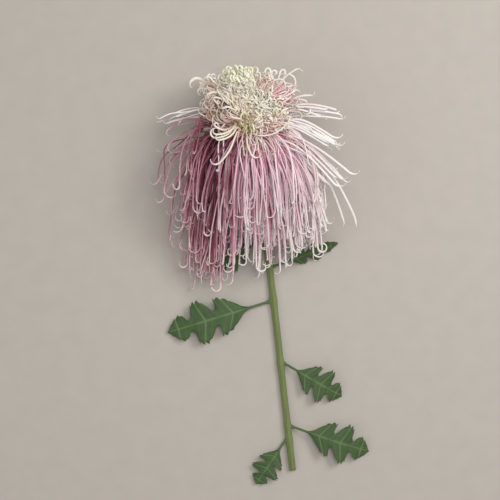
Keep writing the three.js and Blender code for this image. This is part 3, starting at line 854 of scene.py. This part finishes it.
# Florets are darker in the grooves between their ridges and lighter on the crests: painted shade and painted
# light, mixed with their own fibre streaks.
RIDGE_PAINTED_SHADING = (0.9, 1.04)
RIDGE_BUMP = 0.00008
PETAL_ROUGHNESS = (0.42, 0.66)
PETAL_GLOW = (1.0, 0.85, 0.8)  # how far red, green and blue light go inside, against each other


def petal_material(name, deep, pale):
    n = Nodes("petal_" + name)
    wrap = n.add("SeparateXYZ", {"Vector": n.add("UVMap", uv_map="Wrap").outputs["UV"]})
    place = n.place()
    blotches = n.noise(BLOTCH_SCALE, vector=place)
    fibres = n.noise(FIBRE_SCALE, 3, place)
    along = n.math("ADD", wrap.outputs["Y"], n.spread(blotches, -BLOTCH_SHIFT, BLOTCH_SHIFT))
    both = [n.ramp(along, list(zip(STOPS, colours))) for colours in (deep, pale)]
    colour = n.mix(n.math("ADD", n.value("tone"), n.spread(blotches, -BLOTCH_TONE, BLOTCH_TONE)), *both)
    ridge = n.math("SINE", n.times(wrap.outputs["X"], math.tau * RIDGES))
    ridge = n.math("MULTIPLY_ADD", ridge, 0.5, 0.5)
    # painted shade in the ridges' grooves and painted light on their crests, mixed with the fibre streaks
    shade = n.spread(n.times(ridge, fibres), *RIDGE_PAINTED_SHADING)
    colour = n.mix(1.0, colour, n.add("CombineColor", dict.fromkeys(range(3), shade)).outputs[0], "MULTIPLY")
    n.shader.inputs["Subsurface Radius"].default_value = PETAL_GLOW
    return n.surface(
        Base_Color=colour,
        Roughness=n.spread(fibres, *PETAL_ROUGHNESS),
        Normal=n.bump(n.math("ADD", ridge, n.times(fibres, FIBRE_HEIGHT)), RIDGE_BUMP),
        Subsurface_Weight=0.5,
        Subsurface_Scale=0.002,
        Specular_IOR_Level=0.28,
        Sheen_Weight=0.05,
    )


petal = {name: petal_material(name, *colours) for name, colours in PALETTES.items()}

CELLS_A_BLOTCH = 9
CELL_HEIGHT = 1.2  # of a blotch's
CELL_EDGES = 0.15  # how pale they are
VEIN_PALENESS = 0.5
UNDERSIDE_PALENESS = 0.6
GREEN_BUMP = 0.0003
GREEN_ROUGHNESS = (0.42, 0.68)


def green_material(name, dark, light, pale, scale, stretch=1.0):
    """Green skin, with its pattern drawn out along Y where stretch is small. The mesh's own attributes say
    where it has veins and where it is the underside, which are paler."""
    n = Nodes(name)
    dark, light, pale = linear(dark), linear(light), linear(pale)
    place = n.add("VectorMath", {0: n.place(), 1: (1, stretch, 1)}, operation="MULTIPLY").outputs[0]
    blotches = n.noise(scale, 3, place)
    grid = {"Vector": place, "Scale": scale * CELLS_A_BLOTCH}
    cells = n.add("TexVoronoi", grid, feature="DISTANCE_TO_EDGE").outputs[0]
    colour = n.mix(blotches, dark, light)
    colour = n.mix(n.spread(cells, CELL_EDGES, 0.0), colour, pale)
    colour = n.mix(n.times(n.value("vein"), VEIN_PALENESS), colour, pale)
    colour = n.mix(n.times(n.value("under"), UNDERSIDE_PALENESS), colour, pale)
    return n.surface(
        Base_Color=colour,
        Roughness=n.spread(blotches, *GREEN_ROUGHNESS),
        Normal=n.bump(n.math("ADD", n.times(cells, CELL_HEIGHT), blotches), GREEN_BUMP),
        Subsurface_Weight=0.08,
        Subsurface_Scale=0.001,
        Specular_IOR_Level=0.35,
    )


leaf_green = green_material("leaf_green", "#1e341c", "#3c5c32", "#7a9260", 130)
bract_green = green_material("bract_green", "#4a642c", "#768a4a", "#c4c496", 400)
stem_green = green_material("stem_green", "#3e5426", "#6a7e3e", "#cecea4", 420, stretch=0.07)
receptacle_green = green_material("receptacle_green", "#86883e", "#b0b264", "#cece96", 300)

# ---- Floret pieces ----
SIDES = 8
STALK_RING_GAP = 4.2
CURL_RING_GAP = 1.3
LEAST_GAPS = (1, 0.5)  # before the ring at the bend, and before those of the tip
TIP_LENGTH = 1.4  # the last stretch, which rounds off
TIP_RINGS = (1, 0.55, 0.25, 0.08, 0.01)  # distances from the tip, as shares of that stretch
SPOON_LENGTH = 9  # before the tip the tube opens into a narrow spoon
SPOON_OPENS = 0.8  # it is open from this share of its length on
SPOON_WIDENING = 0.35
SPOON_FLOOR = 0.75
SPOON_WALL = 0.4
BASE_WIDTH = 0.6  # of the full radius
FULL_WIDTH_FROM = 0.5  # of the floret's length
TABLE_CLEARANCE = 0.05
FLORETS_A_PIECE = 24
HERO_FOLDS = 6  # columns of the map for a floret that is a piece of its own


def floret_skin(strand):
    line = strand.line
    far = np.concatenate(([0], np.cumsum(np.linalg.norm(np.diff(line, axis=0), axis=1))))
    total = far[-1]
    bend = far[STALK_STEPS]
    places = np.concatenate((
        np.arange(0, bend - LEAST_GAPS[0], STALK_RING_GAP),
        np.arange(bend, total - TIP_LENGTH - LEAST_GAPS[1], CURL_RING_GAP),
        total - TIP_LENGTH * np.array(TIP_RINGS),
    ))
    points = np.column_stack([np.interp(places, far, line[:, k]) for k in range(3)])
    right, up = crosswise(points)
    share = places / total
    from_tip = total - places
    width = strand.radius * (BASE_WIDTH + (1 - BASE_WIDTH) * smooth(share, 0, FULL_WIDTH_FROM))
    width = (width * np.sqrt(1 - np.clip(1 - from_tip / TIP_LENGTH, 0, 1) ** 2))[:, None]
    spoon = smooth(1 - from_tip / SPOON_LENGTH, 0, SPOON_OPENS)[:, None]
    sideways = np.cos(around(SIDES)) * (1 + SPOON_WIDENING * spoon)
    rise = np.sin(around(SIDES))
    gutter = np.where(rise > 0, (SPOON_WALL - SPOON_FLOOR) * rise, SPOON_FLOOR * rise)
    height = rise * (1 - spoon) + gutter * spoon
    rings = tube(points, sideways * width, height * width, right, up)
    rings[..., 2] = np.maximum(rings[..., 2], TABLE_CLEARANCE)
    return rings, share, {"tone": strand.tone}


for node, (palette, slot, strand) in heroes.items():
    skin_piece("floret_" + node, [floret_skin(strand)], petal[palette], [node], HERO_FOLDS)
for name, (palette, slot, strands) in groups.items():
    for number, first in enumerate(range(0, len(strands), FLORETS_A_PIECE), 1):
        skins = [floret_skin(strand) for strand in strands[first:first + FLORETS_A_PIECE]]
        skin_piece(f"{name}_{number}", skins, petal[palette])

# ---- Stem ----
STEM_RADIUS = 2.9
STEM_SIDES = 30
STEM_STEPS = 34  # between two knots of its route
STEM_FOLDS = 4  # columns of the map
STRAIGHT_NECK = 9
STEM_KNOTS = ((3, -36, 15), (8, -62, 6.4), (15, -99, 3.4), (23, -162, 2.9), (31, -234, 2.9), (39, -304, 2.9))
RIBS = 5
RIB_HEIGHT = 0.09  # of the radius
NODE_SWELLING = 0.16  # of the radius, where a leaf grows
NODE_LENGTH = 5
CUT_RINGS = (0.96, 0.7, 0.4, 0.1)  # radii of the rings on the cut end
RIND = 0.8  # of the radius: inside it the cut end is pale
CUT_SLANT = 0.35  # the stem was cut at a slant


def smooth_route(knots, steps):
    """Points along the centripetal Catmull-Rom curve through the knots."""
    knots = np.vstack((2 * knots[0] - knots[1], knots, 2 * knots[-1] - knots[-2]))
    t = np.linspace(0, 1, steps, endpoint=False)[:, None]
    route = []
    for p0, p1, p2, p3 in zip(knots, knots[1:], knots[2:], knots[3:]):
        a, b, c = (math.sqrt(np.linalg.norm(q - p)) for p, q in ((p0, p1), (p1, p2), (p2, p3)))
        start = ((p1 - p0) / a - (p2 - p0) / (a + b) + (p2 - p1) / b) * b
        end = ((p2 - p1) / b - (p3 - p1) / (b + c) + (p3 - p2) / c) * b
        route.append(
            (2 * t**3 - 3 * t**2 + 1) * p1 + (t**3 - 2 * t**2 + t) * start
            + (3 * t**2 - 2 * t**3) * p2 + (t**3 - t**2) * end
        )
    return np.vstack((*route, knots[-2]))


head_middle = np.array((0, 0, HEAD_HEIGHT))
stem_top = head_middle - AXIS * NECK_LENGTH
stem_route = smooth_route(np.vstack((stem_top, stem_top - AXIS * STRAIGHT_NECK, STEM_KNOTS)), STEM_STEPS)

LEAVES = {
    "leaf_1": dict(stem_y=-88, angle=212, length=52, half_width=15, arch=1),
    "leaf_2": dict(stem_y=-114, angle=20, length=64, half_width=13, roll=46, arch=2, height=8),
    "leaf_3": dict(stem_y=-146, angle=197, length=100, half_width=22, arch=7),
    "leaf_4": dict(stem_y=-205, angle=330, length=62, half_width=18, arch=6),
    "leaf_5": dict(stem_y=-262, angle=342, length=76, half_width=20, arch=7),
    "leaf_6": dict(stem_y=-276, angle=236, length=50, half_width=15, arch=4),
}


def stem_skin():
    right, up = crosswise(stem_route)
    angle = around(STEM_SIDES)
    swelling = sum(bell(stem_route[:, 1] - leaf["stem_y"], NODE_LENGTH) for leaf in LEAVES.values())
    ribs = 1 + RIB_HEIGHT * np.cos(RIBS * angle)
    radius = STEM_RADIUS * (1 + NODE_SWELLING * swelling[:, None]) * ribs
    rings = tube(stem_route, radius * np.cos(angle), radius * np.sin(angle), right, up)
    end = rings[-1]
    middle = end.mean(axis=0)
    cut = [middle + (end - middle) * size for size in CUT_RINGS]
    rings = np.vstack((rings, cut))
    lifted = (rings[-len(cut) - 1:, :, 2] - middle[2]) * CUT_SLANT
    rings[-len(cut) - 1:, :, 1] += lifted
    pale = np.zeros(rings.shape[:2])
    pale[-sum(size < RIND for size in CUT_RINGS):] = 1
    rings[..., 2] = np.maximum(rings[..., 2], TABLE_CLEARANCE)
    return rings, np.linspace(0, 1, len(rings)), {"vein": pale, "under": 0.0}


skin_piece("stem_ribbed", [stem_skin()], stem_green, ["stem"], STEM_FOLDS)

# ---- Leaves ----
PETIOLE_SHARE = 0.2
PETIOLE_RADIUS = 1.1
PETIOLE_FLARE = 0.7  # wider by this share where it joins the stem
PETIOLE_FLARE_LENGTH = 0.06
PETIOLE_GAP = 0.3  # from the stem
PETIOLE_BEND = 0.8  # towards the stem
PETIOLE_BEND_LENGTH = 0.08
PETIOLE_PALENESS = 0.5
BLADE_STARTS = (PETIOLE_SHARE - 0.04, PETIOLE_SHARE + 0.06)
BLADE_LEAN = 0.8  # under 1, the blade is widest below its middle
BLADE_FULLNESS = 0.7  # lower is fuller
THINNING_LENGTH = 0.02  # at the very tip
LOBES = 3
LOBE_DEPTH = 0.66
LOBE_PHASE = 0.42
LOBE_SLANT = 0.85
SINUS = 2.6  # higher values give narrower cuts between the lobes
TEETH = 15  # a side
TOOTH_DEPTH = 0.17
LEAF_LIFT = 4
LEAF_CLEARANCE = 0.1
LEAF_BLEND = 0.6
LEAF_ROWS = 152
LEAF_SIDES = 44
BLADE_THICKNESS = 0.5
MIDRIB_THICKNESS = 0.9
MIDRIB_WIDTH = 0.9
VEIN_RELIEF = 0.45
VEIN_FADING = 0.4  # towards the edge
MIDRIB_SHARE = 0.05  # of the half width
SIDE_VEIN_SHARE = 0.035  # of a lobe
SMALL_VEINS = 4  # a lobe
SMALL_VEIN_SHARE = 0.08  # of the room of each
SMALL_VEIN_STRENGTH = 0.25
RIPPLE = 0.9
RIPPLES_A_LOBE = 1.5
RIPPLE_SHIFT = 0.3
OFF_STEM = STEM_RADIUS + PETIOLE_GAP + LEAF_CLEARANCE


def sheet_sides(sides):
    """Round the section of a flat piece: from 1 at one edge to -1 at the other, and 0.5 for the top or -0.5
    for the underside."""
    u = np.arange(sides) / sides
    return np.where(u < 0.5, 1 - 4 * u, 4 * u - 3), np.where(u < 0.5, 0.5, -0.5)


def leaf_half_width(v, half_width):
    """A petiole that flares at the stem, then a blade with lobes, and teeth along their edges."""
    blade = np.clip((v - PETIOLE_SHARE) / (1 - PETIOLE_SHARE), 0, 1)
    outline = np.sin(math.pi * blade**BLADE_LEAN) ** BLADE_FULLNESS
    cut = (0.5 - 0.5 * np.cos(math.tau * (LOBES * blade + LOBE_PHASE))) ** SINUS
    toothed = half_width * outline * (1 - LOBE_DEPTH * cut) * (1 - TOOTH_DEPTH * (blade * TEETH % 1))
    petiole = PETIOLE_RADIUS * (1 + PETIOLE_FLARE * (1 - smooth(v, 0, PETIOLE_FLARE_LENGTH)))
    return np.maximum(petiole * smooth(1 - v, 0, THINNING_LENGTH), toothed)


def leaf_veins(v, across):
    """1 along the midrib and along a side vein to the tip of each lobe, and less along the small ones."""
    blade = (v - PETIOLE_SHARE) / (1 - PETIOLE_SHARE)
    in_lobe = (LOBES * blade + LOBE_PHASE + 0.5) % 1 - 0.5
    in_room = (SMALL_VEINS * (LOBES * blade + LOBE_PHASE) + 0.5) % 1 - 0.5
    side = bell(in_lobe, SIDE_VEIN_SHARE) + SMALL_VEIN_STRENGTH * bell(in_room, SMALL_VEIN_SHARE)
    side = np.where(blade > 0, side * (1 - VEIN_FADING * np.abs(across)), 0)
    return np.maximum(bell(across, MIDRIB_SHARE), side)


def leaf_skin(stem_y, angle, length, half_width, arch, height=3, roll=0):
    angle, roll = math.radians(angle), math.radians(roll)
    heading = np.array((math.cos(angle), math.sin(angle), 0))
    sideways = np.array((-heading[1] * math.cos(roll), heading[0] * math.cos(roll), math.sin(roll)))
    upwards = np.cross(heading, sideways)
    stem_point = stem_route[np.argmin(abs(stem_route[:, 1] - stem_y))]
    off_stem = np.array((math.copysign(1, heading[0]), 0, 0))
    v = np.linspace(0, 1, LEAF_ROWS)[:, None]
    across, face = sheet_sides(LEAF_SIDES)
    half_wide = leaf_half_width(v, half_width)
    blade = smooth(v, *BLADE_STARTS)
    slant = blade * LOBE_SLANT * abs(across) * half_wide * (1 - v)
    veins = leaf_veins(v, across)
    sheet = BLADE_THICKNESS * (1 - across**6) + MIDRIB_THICKNESS * bell(across * half_wide, MIDRIB_WIDTH)
    stalk = 2 * half_wide * np.sqrt(1 - across**2)
    thickness = (sheet * blade + stalk * (1 - blade)) * smooth(1 - v, 0, THINNING_LENGTH)
    relief = blade * (1 - abs(across) ** 3) * VEIN_RELIEF * (0.5 - veins)
    waves = LOBES * RIPPLES_A_LOBE * v + RIPPLE_SHIFT * np.sign(across)
    ripple = blade * RIPPLE * across**2 * np.sin(math.tau * waves)
    base = stem_point + off_stem * OFF_STEM
    points = (
        base
        - off_stem * PETIOLE_BEND * (1 - smooth(v, 0, PETIOLE_BEND_LENGTH))[..., None]
        + heading * (length * v + slant)[..., None]
        + sideways * (across * half_wide)[..., None]
        + upwards * (face * thickness + relief + ripple)[..., None]
    )
    points[..., 2] += arch * np.sin(math.pi * v) + (height - base[2]) * np.minimum(1, v * LEAF_LIFT)
    points[..., 2] = LEAF_CLEARANCE + soft_above(points[..., 2] - LEAF_CLEARANCE, LEAF_BLEND)
    under = np.where(face < 0, 1.0, 0.0) * blade
    return points, v.ravel(), {"vein": veins * blade + PETIOLE_PALENESS * (1 - blade), "under": under}


for name, leaf in LEAVES.items():
    skin_piece(name + "_lobed", [leaf_skin(**leaf)], leaf_green, [name])

# ---- Bracts and receptacle ----
COLLAR_HEIGHT = 2.5
COLLAR_FLARE = 0.6
DOME_END = math.radians(112)
CONE_START = np.array((NECK_RADIUS + COLLAR_FLARE, COLLAR_HEIGHT - NECK_LENGTH))
CONE_END = DOME_RADIUS * np.array((math.sin(DOME_END), math.cos(DOME_END)))
BRACT_ROWS = (  # from the neck up: where on the cone a row starts and ends, and how far its tips flare
    dict(start=-0.02, end=0.5, clearance=0.55, flare=0.5),
    dict(start=0.1, end=0.8, clearance=0.35, flare=1.2),
    dict(start=0.3, end=1.0, clearance=0.15, flare=2.6),
)
BRACTS_A_ROW = 12
CAD_BRACTS = 8
BRACT_HALF_ANGLE = math.radians(19)
BRACT_WIDTHS = (0.12, 0.86)  # of a half sine wave: where the outline starts, and how much of it follows
BRACT_FULLNESS = 0.7  # lower is fuller
BRACT_THICKNESS = 0.5
BRACT_STEPS = 16
BRACT_SIDES = 24
KEEL_HEIGHT = 0.12
KEEL_WIDTH = 0.12  # of the half width
FLARE_START = 0.7
FLARE_CURVE = 1.5
PALE_EDGE = 0.75  # of the half width, from where it grows pale
PALE_TIP = 0.85


def bract_skin(row, number):
    """A pointed scale that lies on the receptacle's cone, with a free tip."""
    facts = BRACT_ROWS[row]
    along = CONE_END - CONE_START
    outwards = unit((along[1], -along[0]))
    v = np.linspace(0, 1, BRACT_STEPS)[:, None]
    across, face = sheet_sides(BRACT_SIDES)
    width = np.sin(math.pi * (BRACT_WIDTHS[0] + BRACT_WIDTHS[1] * v)) ** BRACT_FULLNESS
    thickness = BRACT_THICKNESS * (1 - across**2) * width
    flare = np.clip((v - FLARE_START) / (1 - FLARE_START), 0, 1) ** FLARE_CURVE * facts["flare"]
    lift = facts["clearance"] + (0.5 + face) * thickness + flare
    lift = lift + KEEL_HEIGHT * bell(across, KEEL_WIDTH) * (face > 0)
    place = facts["start"] + (facts["end"] - facts["start"]) * v
    radius = CONE_START[0] + along[0] * place + outwards[0] * lift
    height = CONE_START[1] + along[1] * place + outwards[1] * lift
    turn = (number + 0.5 * (row % 2)) * math.tau / BRACTS_A_ROW - across * BRACT_HALF_ANGLE * width
    points = (
        head_middle
        + AXIS * height[..., None]
        + RIGHT * (radius * np.cos(turn))[..., None]
        + BACK * (radius * np.sin(turn))[..., None]
    )
    edge = smooth(abs(across), PALE_EDGE, 1) + smooth(v, PALE_TIP, 1)
    return points, v.ravel(), {"vein": np.clip(edge, 0, 1), "under": 0.0}


bracts = [bract_skin(row, number) for row in range(len(BRACT_ROWS)) for number in range(BRACTS_A_ROW)]
cad_bracts = [f"bract_{i + 1}" for i in range(CAD_BRACTS)]
skin_piece("bract_rows", bracts, bract_green, cad_bracts)
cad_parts["receptacle"].material_slots[0].material = receptacle_green

# ---- Floor, light and camera ----
FLOOR_HALF = 4.0
FLOOR_COLOURS = ("#b0aca6", "#bab6b0")
FLOOR_SPECKLES = 60
FLOOR_ROUGHNESS = (0.75, 0.9)
LIGHTS = {  # places and sizes in metres, and power in watts
    "key": dict(place=(0.8, 0.5, 1.0), size=0.6, power=8.5, colour=(1.0, 0.97, 0.92)),
    "top": dict(place=(0.2, 0.3, 1.7), size=0.8, power=10, colour=(1.0, 0.98, 0.96)),
    "fill": dict(place=(-0.9, -0.3, 0.9), size=1.0, power=2, colour=(1.0, 0.96, 0.93)),
}
LIT_PLACE = (0, 0.06, 0.03)  # every light points at it
WORLD_COLOUR = "#eae4dd"
WORLD_STRENGTH = 0.45
FRAME_WIDTH = 450  # millimetres across the picture, at the head's height
SENSOR = 36
CAMERA_ABOVE = 1150
AIM = (-0.9, -99)  # from the head's centre to the middle of the picture


def add_floor():
    mesh = bpy.data.meshes.new("floor")
    corners = [(x * FLOOR_HALF, y * FLOOR_HALF, 0) for x, y in ((-1, -1), (1, -1), (1, 1), (-1, 1))]
    mesh.from_pydata(corners, [], [(0, 1, 2, 3)])
    n = Nodes("floor_paint")
    speckle = n.noise(FLOOR_SPECKLES, 4, n.place())
    colour = n.mix(speckle, *(linear(colour) for colour in FLOOR_COLOURS))
    mesh.materials.append(n.surface(Base_Color=colour, Roughness=n.spread(speckle, *FLOOR_ROUGHNESS)))
    floor = add_object("floor", mesh)


def add_area_light(name, place, size, power, colour):
    light = bpy.data.lights.new(name, "AREA")
    light.shape = "DISK"
    light.size = size
    light.energy = power
    light.color = colour
    x, y, z = np.array(LIT_PLACE) - place
    lamp = add_object(name, light, place)
    lamp.rotation_euler = (math.atan2(math.hypot(x, y), -z), 0, math.atan2(x, -y) + math.pi)


def add_camera():
    camera = bpy.data.cameras.new("camera")
    camera.sensor_width = SENSOR
    camera.lens = SENSOR * CAMERA_ABOVE / FRAME_WIDTH
    place = to_frame((AIM[0], AIM[1], HEAD_HEIGHT + CAMERA_ABOVE))
    bpy.context.scene.camera = add_object("camera", camera, place)


add_floor()
for name, facts in LIGHTS.items():
    add_area_light(name, **facts)
world = bpy.data.worlds.new("studio")
world.use_nodes = True
world.node_tree.nodes["Background"].inputs["Color"].default_value = linear(WORLD_COLOUR)
world.node_tree.nodes["Background"].inputs["Strength"].default_value = WORLD_STRENGTH
bpy.context.scene.world = world
bpy.context.scene.view_settings.view_transform = "Standard"
add_camera()
